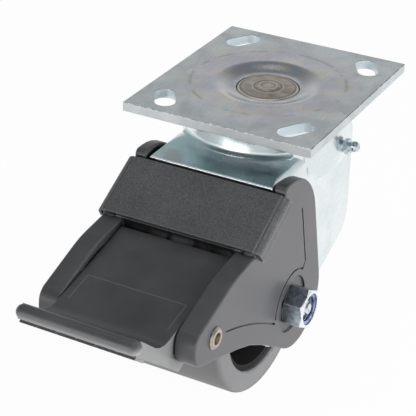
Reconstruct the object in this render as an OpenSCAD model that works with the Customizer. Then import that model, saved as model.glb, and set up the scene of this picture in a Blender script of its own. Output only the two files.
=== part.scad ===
// Heavy swivel plate castor with a foot operated wheel brake.
// Origin: swivel axis at the top face of the plate. +Z up, axle along Y, pedal towards -X.
// All sizes are millimetres. Outlines of side pieces are drawn in X and Z.

/* [Top plate] */
// Length of the top plate along the rolling direction
plate_l = 114.3; // [108:0.1:124]
// Width of the top plate across the wheel
plate_w = 101.6; // [98:0.1:110]
// Thickness of the top plate
plate_t = 4.76; // [4:0.02:6]
// Bolt spacing along the plate at the outer ends of the slots
bolt_span_l = 92.08; // [88:0.01:95]
// Bolt spacing across the plate at the outer ends of the slots
bolt_span_w = 66.68; // [63:0.01:70]
// Square bolt spacing at the inner ends of the slots
bolt_span_sq = 76.2; // [73:0.1:79]
// Width of the bolt slots
slot_w = 10.4; // [8.8:0.1:11.4]
// Depth of the dished centre of the plate
dish_depth = 2.8; // [1.8:0.1:3.4]
// Radius at which the dish meets the flat of the plate
dish_r = 28; // [25:0.5:29.5]

/* [Kingpin] */
// Diameter of the kingpin head that shows in the plate
kingpin_head_d = 31.4; // [29:0.2:35]
// Diameter of the kingpin shank
kingpin_d = 19.05; // [17:0.05:20]
// Width across the flats of the kingpin nut
kingpin_nut_af = 28.6; // [26:0.1:30]
// Height of the kingpin nut
kingpin_nut_h = 14; // [11:0.5:16]

/* [Swivel bearing] */
// Diameter of the balls in the upper race
main_ball_d = 7.94; // [6.5:0.02:8.2]
// Diameter of the circle on which the upper balls run
main_circle_d = 72; // [70:0.5:73]
// Diameter of the balls in the lower race
lower_ball_d = 6.35; // [5:0.05:7]
// Diameter of the circle on which the lower balls run
lower_circle_d = 31; // [29:0.5:34]

/* [Fork] */
// Clear width between the fork legs
fork_gap = 57.1; // [56.4:0.1:59]
// Thickness of the fork sheet
fork_t = 6.35; // [5.5:0.05:7]
// Drop from the plate top to the flat of the fork crown
crown_drop = 20.6; // [19:0.1:23]
// Outer diameter of the raised race drum
drum_d = 85.4; // [84:0.1:88]
// Distance from the swivel axis forward to the crown's front edge
crown_front = 60.5; // [58:0.5:63]
// Distance from the swivel axis back to the legs' rear edge
leg_rear = 31; // [30:0.5:38]
// Outer bend radius between crown and leg
bend_r = 8; // [7:0.5:10]
// Radius of the leg's round end about the axle
leg_end_r = 24; // [20:0.5:25]

/* [Wheel and axle] */
// Diameter of the wheel
wheel_d = 101.6; // [98:0.1:104]
// Width of the wheel across the tread
wheel_w = 53.8; // [48:0.1:54.6]
// Clearance between the top of the wheel and the underside of the crown
crown_gap = 14.35; // [12:0.05:18]
// Horizontal distance from the swivel axis to the axle
swivel_lead = 48.5; // [46:0.1:51]
// Thickness of the tread
tread_t = 11.4; // [9:0.1:14]
// Diameter of the axle bolt
axle_d = 12.7; // [10:0.1:13]
// Width across the flats of the axle nut and bolt head
axle_af = 19.05; // [17:0.05:21]
// Outer diameter of the sleeve that the rollers run on
sleeve_d = 19.05; // [17:0.05:20]
// Diameter of the rollers in the hub
roller_d = 4.76; // [4:0.02:5.2]
// Wall of the wheel hub
hub_wall = 5; // [4:0.5:6.5]

/* [Brake housing] */
// Thickness of each cheek outside the fork
cheek_t = 6.2; // [5:0.1:7.5]
// Inside width between the two arms that hold the pedal
arm_gap = 60.8; // [60:0.1:63]
// Thickness of the moulded walls inside the housing
web_t = 3; // [2.4:0.1:3.6]

/* [Cover strip] */
// Length of the cover strip up the slope
strip_l = 33.4; // [31:0.1:34]
// Slope of the cover strip
strip_slope = 28.3; // [27:0.1:30]
// Width of the cover strip over its folded ends
strip_w = 88.4; // [87.4:0.1:90]
// Thickness of the cover strip's sheet
strip_t = 1.8; // [1.2:0.1:2]

/* [Pedal] */
// Distance of the pedal pivot ahead of the axle
pivot_ahead = 82; // [80:0.5:85]
// Height of the pedal pivot above the axle
pivot_above = 27.6; // [26:0.1:29]
// Diameter of the pivot rivet
rivet_d = 6.35; // [5:0.05:8]
// Width of the pedal's tread lip
lip_w = 62.8; // [60:0.2:66]
// Radius of the rounded tread lip
lip_r = 3.6; // [2.8:0.1:4.2]
// Distance of the lip ahead of the pivot
lip_ahead = 47.2; // [44:0.2:50]
// Height of the lip above the pivot
lip_above = 18; // [15:0.2:20]
// Wall of the pedal moulding
pedal_wall = 3; // [2.4:0.1:3.4]
// Pedal travel from released to locked, degrees
pedal_travel = 20; // [16:1:22]

/* [Brake shoe] */
// Width of the brake shoe
shoe_w = 36; // [30:1:38]
// Thickness of the shoe's steel band
shoe_t = 1.8; // [1.4:0.1:2.4]
// Thickness of the friction pad
pad_t = 3; // [2:0.1:3.6]
// Diameter of the pin on which the shoe rocks
shoe_pin_d = 5; // [4:0.1:5.4]

/* [Hidden] */
$fn = 64;

zinc = [0.72, 0.74, 0.75];
bright_zinc = [0.80, 0.84, 0.86];
steel = [0.52, 0.49, 0.47];
black_nylon = [0.26, 0.26, 0.27];
black_paint = [0.20, 0.20, 0.21];
grey_tread = [0.55, 0.55, 0.56];
core_black = [0.12, 0.12, 0.12];
nylon_blue = [0.28, 0.33, 0.62];
friction_grey = [0.30, 0.29, 0.28];

// Shared clearances
run_gap = 0.06;
ball_gap = 0.3;
seat_gap = 0.1;
eps = 0.01;

// Wheel and axle place
wheel_r = wheel_d / 2;
crown_z = -crown_drop;
crown_under = crown_z - fork_t;
ax = -swivel_lead;
az = crown_under - crown_gap - wheel_r;
axle = [ax, az];

// Plate and swivel bearing heights
kingpin_r = kingpin_d / 2;
kingpin_head_r = kingpin_head_d / 2;
main_r = main_circle_d / 2;
lower_r = lower_circle_d / 2;
main_ball_r = main_ball_d / 2;
lower_ball_r = lower_ball_d / 2;
ball_sink = 0.6;
main_ball_z = -plate_t + ball_sink - main_ball_r;
rim_gap = 1.4;
rim_z = -plate_t - rim_gap;
rim_round = 3;
land_z = main_ball_z - 2.9;
floor_z = land_z - fork_t;
lower_ball_z = floor_z + ball_sink - lower_ball_r;
race_z = lower_ball_z - lower_ball_r + ball_sink;
race_t = 3.5;
race_lip = 2.4;
race_r = lower_r + lower_ball_r + ball_gap + race_lip;
nut_z = race_z - race_t;
kingpin_end_z = nut_z - kingpin_nut_h - 3;
main_ball_count = floor(180 / asin((main_ball_d + 0.25) / main_circle_d));
lower_ball_count = floor(180 / asin((lower_ball_d + 0.25) / lower_circle_d));
dish_start_r = kingpin_head_r + 1.6;
head_gap = 0.45;
cotter_d = 3.2;
cotter_z = kingpin_end_z + 6;

// Fork
leg_in = fork_gap / 2;
leg_out = leg_in + fork_t;
drum_r = drum_d / 2;
drum_in = drum_r - fork_t;
front_drop = 3.1;
rear_corner_r = 10;
leg_bottom_slope = 22;
leg_front_lean = 16;
skirt_z = crown_z - 8.4;
skirt_drop = 11;
grease_z = crown_z - 4.4;
grease_tilt = 11.5;
grease_thread_r = 3.1;
grease_hex_af = 7;

// Housing
cheek_in = leg_out + seat_gap;
cheek_out = cheek_in + cheek_t;
arm_in = arm_gap / 2;
nut_seat_depth = 1;
nut_seat_y = cheek_out - nut_seat_depth;
nut_seat_r = axle_af * 0.78;
groove_w = 1.1;
groove_depth = 0.8;
pivot = [ax - pivot_ahead, az + pivot_above];
rivet_r = rivet_d / 2;
rivet_head_r = 5.4;

// Cover strip, placed from the crown's front edge
strip_top = [-crown_front - 2.9, crown_z - 3.3];
strip_foot = strip_top - strip_l * [cos(strip_slope), sin(strip_slope)];
strip_r = norm(strip_foot - pivot);
strip_half = strip_w / 2;
strip_fold = 6;
strip_bevel = 4.5;
bridge_v = -strip_t - seat_gap;
rail_h = 2.4;

// Pedal
pedal_half = arm_in - 0.5;
barrel_r = rivet_r + 3.6;
cam_r = 4;
cam_half = 8;
pad_gap = 0.45;
cam_gap = 0.3;
pad_r = wheel_r + pad_gap;
band_r = pad_r + pad_t;
shoe_back_r = band_r + shoe_t;
pivot_dist = norm([pivot_ahead, pivot_above]);
pivot_line = atan2(-pivot_above, pivot_ahead);
cam_reach = pivot_dist - shoe_back_r - cam_gap - cam_r;
cam_rest = pivot_line - pedal_travel;
cam_tip = pivot + cam_reach * [cos(cam_rest), sin(cam_rest)];
pedal_rear = strip_foot + [-0.8, -6];
lip = pivot + [-lip_ahead, lip_above];
scoop = pivot + [0.59 * -lip_ahead, 0.32 * lip_above];
pedal_heel = pivot + [-12.5, -14.8];
grip_pitch = 10;
grip_count = 6;
grip_w = 8.6;
grip_l = 9;
grip_h = 1.3;
rib_y = 18;

// Brake shoe, drawn locked and then swung back to rest about its pin
shoe_swing = 2.1;
eye_angle = 130;
eye_r = shoe_pin_d / 2 + 1.7;
eye = axle + (wheel_r + eye_r + 2.2) * [cos(eye_angle), sin(eye_angle)];
eye_half = shoe_w / 2 - 4;
lug_in = shoe_w / 2 + 2;
lug_out = lug_in + 5;
pin_half = lug_out + 0.8;
wire_r = 0.6;
coil_r = shoe_pin_d / 2 + wire_r + 0.3;

// Bearing
sleeve_r = sleeve_d / 2;
roller_r = roller_d / 2;
roller_circle = sleeve_r + roller_r + run_gap;
hub_bore_r = roller_circle + roller_r + run_gap;
hub_r = hub_bore_r + hub_wall;
roller_count = floor(180 / asin((roller_d + 2) / (2 * roller_circle)));
hub_half = leg_in - 1;
washer_t = 0.8;

function unit(v) = v / norm(v);
function left_of(d) = [-d[1], d[0]];
function xz(p) = [p[0], p[1]];
function on_circle(c, r, a) = c + r * [cos(a), sin(a)];

// Points of an arc about c
function arc_points(c, r, a0, a1, n = 12) =
    [for (i = [0:n]) on_circle(c, r, a0 + (a1 - a0) * i / n)];

// Corner p1 between p0 and p2, rounded to radius r
function round_corner(p0, p1, p2, r) =
    let (u = unit(p0 - p1), w = unit(p2 - p1), half = acos(u * w) / 2,
         c = p1 + unit(u + w) * r / sin(half),
         a0 = atan2((p1 + u * r / tan(half) - c)[1], (p1 + u * r / tan(half) - c)[0]),
         a1 = atan2((p1 + w * r / tan(half) - c)[1], (p1 + w * r / tan(half) - c)[0]),
         turn = (a1 - a0 + 540) % 360 - 180,
         n = max(2, ceil(abs(turn) / 9)))
    arc_points(c, r, a0, a0 + turn, n);

// Closed outline from corners [x, z, radius]
function rounded(v) =
    let (n = len(v))
    [for (i = [0:n - 1])
        each v[i][2] > 0
            ? round_corner(xz(v[(i + n - 1) % n]), xz(v[i]), xz(v[(i + 1) % n]), v[i][2])
            : [xz(v[i])]];

// Open path from corners [x, z, radius]
function rounded_path(v) =
    let (n = len(v))
    [for (i = [0:n - 1])
        each (i > 0 && i < n - 1 && v[i][2] > 0)
            ? round_corner(xz(v[i - 1]), xz(v[i]), xz(v[i + 1]), v[i][2])
            : [xz(v[i])]];

// Path parallel to an open path of corners, d to its left
function beside(v, d) =
    let (n = len(v))
    [for (i = [0:n - 1])
        let (d0 = unit(xz(v[max(i, 1)]) - xz(v[max(i, 1) - 1])),
             d1 = unit(xz(v[min(i, n - 2) + 1]) - xz(v[min(i, n - 2)])),
             s = d0[0] * d1[1] - d0[1] * d1[0],
             p = xz(v[i]) + d * (left_of(d0) + left_of(d1)) / (1 + d0 * d1))
        [p[0], p[1], v[i][2] == 0 ? 0 : max(0.1, v[i][2] - sign(s) * d)]];

function reversed(v) = [for (i = [len(v) - 1:-1:0]) v[i]];

// Wall of thickness t along an open path of corners
function wall(v, t) = concat(rounded_path(v), reversed(rounded_path(beside(v, t))));

// Corner where two tangents of a circle meet
function tangent_corner(c, r, a1, a2) = on_circle(c, r / cos((a2 - a1) / 2), (a1 + a2) / 2);

// Point of the cover strip's own frame: u up the slope, v out of its face
function strip_point(u, v) =
    strip_foot + u * [cos(strip_slope), sin(strip_slope)] + v * [-sin(strip_slope), cos(strip_slope)];

function swung(p, c, a) = c + [(p - c)[0] * cos(a) - (p - c)[1] * sin(a),
                               (p - c)[0] * sin(a) + (p - c)[1] * cos(a)];

module both_sides() {
    children();
    mirror([0, 1, 0]) children();
}

// Extrude an X and Z outline from y0 to y1
module slab(y0, y1) {
    translate([0, y1, 0]) rotate([90, 0, 0]) linear_extrude(y1 - y0) children();
}

module rod(p, r, y0, y1) {
    translate([p[0], y1, p[1]]) rotate([90, 0, 0]) cylinder(r = r, h = y1 - y0);
}

module on_strip() {
    translate([strip_foot[0], 0, strip_foot[1]]) rotate([0, -strip_slope, 0]) children();
}

// Hexagon with its top and bottom corners chamfered
module hex_body(af, h, chamfer = 1) {
    corner_r = af / sqrt(3);
    intersection() {
        cylinder(r = corner_r, h = h, $fn = 6);
        rotate_extrude()
            polygon([[0, 0], [corner_r - chamfer, 0], [corner_r + eps, chamfer * 0.6],
                     [corner_r + eps, h - chamfer * 0.6], [corner_r - chamfer, h], [0, h]]);
    }
}

module ball_ring(count, r, ball_r, z) {
    for (i = [0:count - 1])
        rotate([0, 0, i * 360 / count]) translate([r, 0, z]) sphere(r = ball_r);
}

module ball_groove(r, ball_r, z) {
    rotate_extrude() translate([r, z]) circle(r = ball_r + ball_gap);
}

// Groove of width w along a path on a side face, from y0 to y1
module side_groove(path, w, y0, y1) {
    v = [for (p = path) [p[0], p[1], 0]];
    slab(y0, y1) polygon([for (p = concat(beside(v, w / 2), reversed(beside(v, -w / 2)))) xz(p)]);
}

// Round wire along a path of points that stays near one X and Z plane
module wire(path, r, sides = 8) {
    n = len(path);
    rings = [for (i = [0:n - 1])
        let (t = unit(path[min(i + 1, n - 1)] - path[max(i - 1, 0)]),
             s = unit(cross(t, [0, 1, 0])),
             b = cross(t, s))
        for (k = [0:sides - 1])
            path[i] + r * (cos(k * 360 / sides) * s + sin(k * 360 / sides) * b)];
    polyhedron(rings, concat(
        [[for (k = [0:sides - 1]) k]],
        [for (i = [0:n - 2]) for (k = [0:sides - 1])
            let (a = i * sides + k, b = i * sides + (k + 1) % sides)
            [a, a + sides, b + sides, b]],
        [[for (k = [sides - 1:-1:0]) (n - 1) * sides + k]]));
}

// Height of the dished surface at radius r, for a sheet face that is z0 when flat
function dish_z(r, z0) =
    r <= dish_start_r ? z0 - dish_depth
    : z0 - dish_depth * (1 + cos(180 * (r - dish_start_r) / (dish_r - dish_start_r))) / 2;

function dish_curve(z0, n = 10) =
    [for (i = [0:n]) let (r = dish_start_r + (dish_r - dish_start_r) * i / n) [r, dish_z(r, z0)]];

// The curve run on in a straight line past its last point, to cross the flat face cleanly
function dish_past(z0) =
    let (c = dish_curve(z0), n = len(c)) concat(c, [c[n - 1] + 2 * (c[n - 1] - c[n - 2])]);

module bolt_slots() {
    for (sx = [-1, 1], sy = [-1, 1]) {
        outer = [sx * bolt_span_l / 2, sy * bolt_span_w / 2];
        inner = [sx * bolt_span_sq / 2, sy * bolt_span_sq / 2];
        run = norm(inner - outer);
        translate([outer[0], outer[1], -plate_t - 1])
            rotate([0, 0, atan2(inner[1] - outer[1], inner[0] - outer[0])]) linear_extrude(plate_t + 2) {
                circle(d = slot_w);
                translate([run, 0]) circle(d = slot_w);
                translate([0, -slot_w / 2]) square([run, slot_w]);
            }
    }
}

// Pressed steel plate with a dished centre, four diagonal slots and a ball track below
module top_plate() {
    color(zinc) difference() {
        union() {
            translate([-plate_l / 2, -plate_w / 2, -plate_t]) cube([plate_l, plate_w, plate_t]);
            rotate_extrude()
                polygon(concat([[0, -plate_t + 1], [0, -plate_t - dish_depth]],
                               dish_past(-plate_t), [[dish_r, -plate_t + 1]]));
        }
        rotate_extrude()
            polygon(concat([[0, 1], [0, -dish_depth]], dish_past(0), [[dish_r, 1]]));
        kingpin_seat();
        ball_groove(main_r, main_ball_r, main_ball_z);
        bolt_slots();
    }
}

// Flush head: a short cylinder and a cone down to the shank
head_cone_z = -dish_depth - 1.4;
head_neck_z = -dish_depth - plate_t;
head_neck_r = kingpin_r + 1.2;

head_rim_z = -dish_depth + 0.15;
head_rise = 1.1;
head_boss_r = 7;

// Turned head: a bevelled rim, a shallow rise to a boss, and a centre point in it
module kingpin_head_shape() {
    boss_z = head_rim_z + head_rise;
    rotate_extrude()
        polygon([[0, boss_z - 0.7], [1.1, boss_z], [head_boss_r - 1.6, boss_z], [head_boss_r - 0.3, boss_z - 0.5],
                 [head_boss_r, boss_z - 0.6], [head_boss_r + 0.5, boss_z - 0.5],
                 [head_boss_r + 2.6, boss_z - 0.6], [kingpin_head_r - 0.7, head_rim_z],
                 [kingpin_head_r, head_rim_z - 0.5],
                 [kingpin_head_r, head_cone_z], [head_neck_r, head_neck_z], [0, head_neck_z]]);
}

// Seat for the head, drawn past both faces of the plate
module kingpin_seat() {
    slope = (kingpin_head_r - head_neck_r) / (head_cone_z - head_neck_z);
    rotate_extrude()
        polygon([[0, 1], [kingpin_head_r + head_gap, 1], [kingpin_head_r + head_gap, head_cone_z],
                 [head_neck_r + head_gap - slope, head_neck_z - 1], [0, head_neck_z - 1]]);
}

module kingpin() {
    color(steel) difference() {
        union() {
            kingpin_head_shape();
            rotate_extrude()
                polygon([[0, -dish_depth - 1], [kingpin_r, -dish_depth - 1],
                         [kingpin_r, kingpin_end_z + 1.2], [kingpin_r - 1.2, kingpin_end_z],
                         [0, kingpin_end_z]]);
        }
        rotate([90, 0, 0]) translate([0, cotter_z, -kingpin_r - 1])
            cylinder(d = cotter_d + 0.2, h = kingpin_d + 2);
    }
}

module lower_race() {
    color(bright_zinc) difference() {
        rotate_extrude()
            polygon([[kingpin_r + run_gap, race_z], [race_r - race_lip, race_z],
                     [race_r - race_lip, floor_z - 1], [race_r, floor_z - 1],
                     [race_r, nut_z + 1], [race_r - 1, nut_z], [kingpin_r + run_gap, nut_z]]);
        ball_groove(lower_r, lower_ball_r, lower_ball_z);
    }
}

// Slotted hexagon nut under the lower race
module kingpin_nut() {
    crown_h = 5;
    color(zinc) difference() {
        translate([0, 0, nut_z - kingpin_nut_h]) hex_body(kingpin_nut_af, kingpin_nut_h);
        translate([0, 0, nut_z - kingpin_nut_h - 1])
            cylinder(r = kingpin_r + run_gap, h = kingpin_nut_h + 2);
        for (a = [0:60:120])
            rotate([0, 0, a + 30]) translate([-kingpin_nut_af, -cotter_d / 2 - 0.3, nut_z - kingpin_nut_h - 1])
                cube([2 * kingpin_nut_af, cotter_d + 0.6, crown_h + 1]);
    }
}

module cotter_pin() {
    reach = kingpin_nut_af / 2 + cotter_d / 2 + 1;
    color(bright_zinc) {
        translate([0, 0, cotter_z]) rotate([90, 0, 0]) {
            translate([0, 0, -reach]) cylinder(d = cotter_d, h = 2 * reach);
            translate([0, 0, reach]) sphere(d = cotter_d + 1.6);
        }
    }
}

fork_outline = let (
    rear_end = tangent_corner(axle, leg_end_r, 270 + leg_bottom_slope, 180 - leg_front_lean),
    rear_line = on_circle(axle, leg_end_r, 270 + leg_bottom_slope),
    front_line = on_circle(axle, leg_end_r, 180 - leg_front_lean))
    rounded([
        [-crown_front, crown_z - front_drop, 1],
        [-crown_front + 15, crown_z, 60],
        [leg_rear, crown_z, rear_corner_r],
        [leg_rear, rear_line[1] + (leg_rear - rear_line[0]) * tan(leg_bottom_slope), 16],
        [rear_end[0], rear_end[1], leg_end_r],
        [-crown_front, front_line[1] + (-crown_front - front_line[0]) / tan(leg_front_lean), 20]
    ]);

// Bent U section of crown and legs, seen along X
module fork_section() {
    deep = az - leg_end_r - 5;
    outer = rounded([[-leg_out, deep, 0], [leg_out, deep, 0],
                     [leg_out, crown_z, bend_r], [-leg_out, crown_z, bend_r]]);
    inner = rounded([[-leg_in, deep - 1, 0], [leg_in, deep - 1, 0],
                     [leg_in, crown_under, bend_r - fork_t + 0.5],
                     [-leg_in, crown_under, bend_r - fork_t + 0.5]]);
    translate([-crown_front - 5, 0, 0]) rotate([90, 0, 90])
        linear_extrude(crown_front + leg_rear + 10) difference() {
            polygon(outer);
            polygon(inner);
        }
}

module race_drum() {
    rotate_extrude()
        polygon(concat(
            [[kingpin_r + run_gap, land_z], [kingpin_r + run_gap, floor_z], [drum_in, floor_z],
             [drum_in, crown_under], [drum_r, crown_under]],
            arc_points([drum_r - rim_round, rim_z - rim_round], rim_round, 0, 90, 5),
            [[main_r, rim_z], [main_r, land_z]]));
}

// Side bulge where the drum runs down into a leg
module drum_skirt() {
    intersection() {
        rotate_extrude()
            polygon(concat([[leg_in - 4, crown_z - 1], [drum_r, crown_z - 1]],
                           [for (i = [0:6]) [leg_out + (drum_r - leg_out) * cos(i * 15),
                                             skirt_z - skirt_drop * sin(i * 15)]],
                           [[leg_in - 4, skirt_z - skirt_drop]]));
        translate([-drum_r, leg_in, skirt_z - skirt_drop - 1])
            cube([drum_d, drum_r, skirt_drop + 20]);
    }
}

// Small fillet where the front of the drum meets the crown
module drum_fillet() {
    foot = 2.6;
    intersection() {
        rotate_extrude()
            polygon(concat([[drum_r - 1, crown_z - 1], [drum_r - 1, crown_z + foot]],
                           arc_points([drum_r + foot, crown_z + foot], foot, 180, 270, 5),
                           [[drum_r + foot, crown_z - 1]]));
        translate([-drum_r - foot - 1, -leg_out + bend_r * 0.6, crown_z - 2])
            cube([drum_r, 2 * (leg_out - bend_r * 0.6), foot + 4]);
    }
}

module at_grease_fitting() {
    translate([0, -drum_r, grease_z]) rotate([90 - grease_tilt, 0, 0]) children();
}

module fork() {
    color(zinc) difference() {
        union() {
            intersection() {
                fork_section();
                slab(-leg_out - 1, leg_out + 1) polygon(fork_outline);
            }
            race_drum();
            both_sides() drum_skirt();
            drum_fillet();
        }
        translate([0, 0, crown_under - 2]) cylinder(r = drum_in, h = floor_z - crown_under + 2);
        ball_groove(main_r, main_ball_r, main_ball_z);
        ball_groove(lower_r, lower_ball_r, lower_ball_z);
        rod(axle, axle_d / 2 + run_gap, -leg_out - 1, leg_out + 1);
        at_grease_fitting() translate([0, 0, -fork_t - 4]) cylinder(r = grease_thread_r + run_gap, h = fork_t + 8);
    }
}

module upper_balls() {
    color(steel) ball_ring(main_ball_count, main_r, main_ball_r, main_ball_z);
}

module lower_balls() {
    color(steel) ball_ring(lower_ball_count, lower_r, lower_ball_r, lower_ball_z);
}

module grease_fitting() {
    hex_z = 1.5;
    hex_h = 2.6;
    ball_r = 2.8;
    color(bright_zinc) at_grease_fitting() {
        translate([0, 0, -fork_t + 1]) cylinder(r = grease_thread_r, h = fork_t + 1);
        translate([0, 0, hex_z]) hex_body(grease_hex_af, hex_h, 0.5);
        translate([0, 0, hex_z + hex_h]) rotate_extrude()
            polygon(concat([[0, -0.5], [2.5, -0.5], [2.5, 0.2], [1.9, 0.6]],
                           arc_points([0, 2.4], ball_r, -40, 52, 6), [[0, 2.4 + ball_r * sin(52)]]));
    }
}

// Outline of one cheek with its arm
cheek_outline = let (
    rear_top = [-crown_front + 29.3, crown_z - 0.4],
    strip_end = strip_point(strip_l + 0.5, bridge_v),
    strip_start = strip_point(0.6, bridge_v))
    rounded([
        [strip_end[0], strip_end[1], 0],
        [strip_end[0] + 0.4, crown_z - 0.6, 3],
        [rear_top[0], rear_top[1], 31],
        [ax + 45.7, az - 58.4, 25],
        [ax - 44.3, az + 2.3, 110],
        [pivot[0] - 19, pivot[1] - 6.3, 9],
        [pivot[0] - 17.3, pivot[1] + 8, 8],
        [pivot[0] + 17.5, pivot[1] + 19.6, 50],
        [strip_start[0] - 0.6, strip_start[1] - 1.6, 0],
        [strip_start[0], strip_start[1], 0]
    ]);

// Inner thickness of an arm ahead of the fork leg
arm_front_x = ax - leg_end_r - 3;

// Thin moulded lines on the outer face of a cheek
rear_line = concat([[ax + 6.4, az + 51.6], [ax + 13.7, az + 18]],
                   arc_points(axle, 18.5, 53, 178, 10));
lower_line = [for (i = [0:8]) let (t = i / 8)
    [ax - 19 - 52 * t, az - 1 + 34.5 * t - 9 * t * t]];

module cheek() {
    difference() {
        slab(arm_in, cheek_out) polygon(cheek_outline);
        // Room for the fork's leg behind the arm
        translate([arm_front_x, arm_in - 1, az - wheel_d]) cube([2 * plate_l, cheek_in - arm_in + 1, 2 * wheel_d]);
        // Pocket behind the arm's rim, with the pivot boss and one rib left standing
        difference() {
            slab(arm_in - 1, cheek_in - 0.5) polygon(arm_pocket);
            rod(pivot, rivet_head_r + 3.6, arm_in - 2, cheek_in);
            translate([pivot[0] + 22, arm_in - 2, az]) cube([web_t * 0.8, 10, 60]);
        }
        side_groove(rear_line, groove_w, cheek_out - groove_depth, cheek_out + 1);
        side_groove(lower_line, groove_w, cheek_out - groove_depth, cheek_out + 1);
        rod(axle, nut_seat_r, nut_seat_y, cheek_out + 1);
        rod(axle, axle_d / 2 + run_gap, cheek_in - 1, cheek_out + 1);
        rod(pivot, rivet_r + run_gap, arm_in - 1, cheek_out + 1);
    }
    // Rail that the strip's folded end hooks on
    on_strip() translate([0.6, cheek_out - eps, bridge_v - rail_h])
        cube([strip_l - 1.2, strip_half - strip_t - seat_gap - cheek_out, rail_h]);
}

arm_pocket = rounded([
    [pivot[0] - 12.5, pivot[1] + 5.5, 4],
    [pivot[0] + 15, pivot[1] + 14.8, 40],
    [arm_front_x - 4, pivot[1] + 15.8, 3],
    [arm_front_x - 4, az - 3.5, 3],
    [ax - 48, az + 9.4, 60],
    [pivot[0] - 11, pivot[1] - 4.4, 4]
]);

lug_outline = let (
    a = strip_point(-0.2, bridge_v - 1),
    b = strip_point(13, bridge_v - 1))
    concat([a, b], arc_points(eye, eye_r + 0.4, -40, -200, 10));

// Apron below the bridge, curved about the pivot to clear the pedal's rear edge
apron = let (near = strip_r - 0.8, far = strip_r + 1.6, low = strip_r - 2.8)
    concat([for (a = [31, 25]) on_circle(pivot, near, a)],
           [for (a = [22, 20, 18]) on_circle(pivot, low, a)],
           [for (a = [18, 20, 22.5]) on_circle(pivot, low + 1, a)],
           [for (a = [25.5, 30]) on_circle(pivot, far, a)]);

// Moulded housing: two cheeks with arms, joined by a bridge under the cover strip
module brake_housing() {
    color(black_nylon) difference() {
        union() {
            both_sides() cheek();
            on_strip() translate([0.6, -cheek_out + eps, bridge_v - web_t])
                cube([strip_l - 1.2, 2 * (cheek_out - eps), web_t]);
            both_sides() slab(lug_in, lug_out) polygon(lug_outline);
            slab(-cheek_in + 0.4, cheek_in - 0.4) polygon(apron);
            // Two ribs that stiffen the bridge
            for (y = [-8, 8 - web_t])
                on_strip() translate([12, y, bridge_v - web_t - 3.5]) cube([strip_l - 14, web_t, 4]);
        }
        rod(eye, shoe_pin_d / 2 + run_gap, -lug_out - 1, lug_out + 1);
    }
}

// Folded steel strip that hooks over the rails of both cheeks
module cover_strip() {
    hook = strip_half - cheek_out - 0.4;
    half = [
        [strip_half - strip_bevel, 0], [strip_half - 0.7, -0.9], [strip_half, -1.9],
        [strip_half, -strip_fold], [strip_half - hook, -strip_fold],
        [strip_half - hook, -strip_fold + 1.2], [strip_half - strip_t, -strip_fold + 1.2],
        [strip_half - strip_t, -strip_t]
    ];
    color(black_paint) on_strip() rotate([90, 0, 90]) linear_extrude(strip_l)
        polygon(concat(half, [for (p = reversed(half)) [-p[0], p[1]]]));
}

// Tubular rivet through both arms and the pedal
module pivot_rivet() {
    head_h = 1.5;
    color(bright_zinc) difference() {
        union() {
            rod(pivot, rivet_r, -cheek_out - head_h / 2, cheek_out + head_h / 2);
            for (s = [0, 1]) mirror([0, s, 0])
                translate([pivot[0], -cheek_out, pivot[1]]) rotate([90, 0, 0]) rotate_extrude()
                    polygon([[0, 0], [rivet_head_r, 0], [rivet_head_r, 0.5],
                             [rivet_head_r - 0.9, head_h], [3.2, head_h], [0, head_h - 0.4]]);
        }
        for (s = [0, 1]) mirror([0, s, 0])
            translate([pivot[0], -cheek_out - head_h - eps, pivot[1]]) rotate([-90, 0, 0])
                cylinder(r1 = 2.9, r2 = 2, h = 5);
    }
}

module axle_bolt() {
    head_h = 8;
    end_y = nut_seat_y + nut_h - 0.6;
    color(zinc) {
        rod(axle, axle_d / 2, -end_y + 3.4, nut_seat_y + 1);
        // Tapered end with a centre point
        translate([ax, 0, az]) rotate([90, 0, 0]) rotate_extrude()
            polygon([[0, end_y - 5], [axle_d / 2, end_y - 5], [axle_d / 2, end_y - 3.4],
                     [bolt_end_r, end_y - 1], [bolt_end_r - 0.4, end_y], [1.2, end_y], [0, end_y - 0.9]]);
        translate([ax, nut_seat_y, az]) rotate([-90, 0, 0]) hex_body(axle_af, head_h);
    }
}

nut_h = 11;
nut_turn = 30;
insert_h = 2.4;
insert_r = axle_d / 2 + 1.9;
bolt_end_r = 3.1;

module axle_nut() {
    color(bright_zinc) translate([ax, -nut_seat_y, az]) rotate([90, 0, 0]) rotate([0, 0, nut_turn])
        difference() {
            intersection() {
                cylinder(r = axle_af / sqrt(3), h = nut_h, $fn = 6);
                rotate_extrude()
                    polygon([[0, 0], [axle_af / 2 - 0.2, 0], [axle_af / sqrt(3) + 0.1, 0.9],
                             [axle_af / sqrt(3) + 0.1, nut_h - 1.3], [axle_af / 2 - 0.5, nut_h],
                             [0, nut_h]]);
            }
            translate([0, 0, -1]) cylinder(r = axle_d / 2 + run_gap, h = nut_h + 2);
            translate([0, 0, nut_h - insert_h]) cylinder(r = insert_r, h = insert_h + 1);
        }
}

// Nylon ring that locks the nut
module nut_insert() {
    color(nylon_blue) translate([ax, -nut_seat_y - nut_h + insert_h, az]) rotate([90, 0, 0])
        rotate_extrude()
            polygon([[axle_d / 2 + run_gap, 0], [insert_r - 0.05, 0],
                     [insert_r - 0.05, insert_h - 0.7], [axle_d / 2 + run_gap, insert_h - 1]]);
}

// Steel sleeve clamped between the legs
module axle_sleeve() {
    color(steel) difference() {
        rod(axle, sleeve_r, -leg_in, leg_in);
        rod(axle, axle_d / 2 + run_gap, -leg_in - 1, leg_in + 1);
    }
}

module thrust_washers() {
    color(bright_zinc) both_sides() difference() {
        rod(axle, hub_r - 1, leg_in - washer_t, leg_in - eps);
        rod(axle, sleeve_r + run_gap, leg_in - 2, leg_in + 1);
    }
}

module about_axle() {
    translate([ax, 0, az]) rotate([90, 0, 0]) children();
}

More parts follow.
